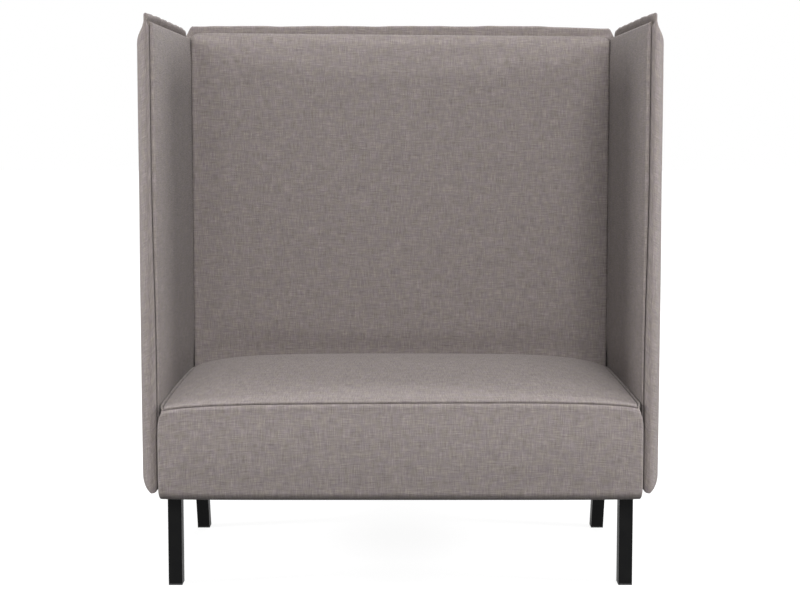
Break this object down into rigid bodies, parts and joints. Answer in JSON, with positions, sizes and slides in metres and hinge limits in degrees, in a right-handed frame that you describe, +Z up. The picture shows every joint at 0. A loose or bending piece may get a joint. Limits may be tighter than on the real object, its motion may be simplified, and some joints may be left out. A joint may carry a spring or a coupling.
{
  "type": "high-back sofa",
  "caption": "High-back sofa with thin upholstered side and back panels, flat flanged edges, a crowned fixed seat and black square-tube legs.",
  "frame": {"origin": "on the floor under the middle of the sofa", "axes": "+Z up; the sitter faces -Y; +X to the right of someone who looks at the front"},
  "size_m": [1.204, 0.6598, 1.345],
  "materials": {
    "melange_fabric": "warm grey melange woven wool blend, matt",
    "foam": "open-cell polyurethane foam",
    "felt": "needled felt",
    "beech": "planed beech, unfinished",
    "plywood": "birch plywood, unfinished",
    "hardboard": "smooth hardboard",
    "webbing": "woven elastic webbing",
    "spring_steel": "oiled spring wire",
    "zinc_steel": "zinc plated",
    "black_powder_coat": "satin black powder coat on steel",
    "black_nylon": "moulded black nylon",
    "dust_cloth": "black non-woven cloth"
  },
  "bodies": {
    "root": {"back_bolts": "zinc_steel", "back_bottom_rail": "beech", "back_dust_cover": "dust_cloth", "back_flange": "melange_fabric", "back_front_cover": "melange_fabric", "back_front_foam": "foam", "back_hardboard": "hardboard", "back_left_post": "beech", "back_middle_rail": "beech", "back_rear_cover": "melange_fabric", "back_rear_foam": "foam", "back_right_post": "beech", "back_tee_nuts": "zinc_steel", "back_top_rail": "beech", "back_webbing": "webbing", "corner_barrel_nuts": "zinc_steel", "corner_bolts": "zinc_steel", "floor_glides": "black_nylon", "frame_dowels": "beech", "front_left_leg": "black_powder_coat", "front_right_leg": "black_powder_coat", "left_side_board": "plywood", "left_side_flange": "melange_fabric", "left_side_inner_cover": "melange_fabric", "left_side_inner_foam": "foam", "left_side_outer_cover": "melange_fabric", "left_side_outer_foam": "foam", "leg_plates": "black_powder_coat", "leg_screws": "zinc_steel", "rear_left_leg": "black_powder_coat", "rear_right_leg": "black_powder_coat", "right_side_board": "plywood", "right_side_flange": "melange_fabric", "right_side_inner_cover": "melange_fabric", "right_side_inner_foam": "foam", "right_side_outer_cover": "melange_fabric", "right_side_outer_foam": "foam", "seat_centre_rail": "beech", "seat_cover": "melange_fabric", "seat_dust_cover": "dust_cloth", "seat_foam": "foam", "seat_front_rail": "beech", "seat_left_rail": "beech", "seat_leg_blocks": "beech", "seat_rear_rail": "beech", "seat_right_rail": "beech", "seat_spring_clips": "spring_steel", "seat_spring_felt": "felt", "seat_springs": "spring_steel", "side_bolts": "zinc_steel", "side_tee_nuts": "zinc_steel"}
  },
  "joints": []
}
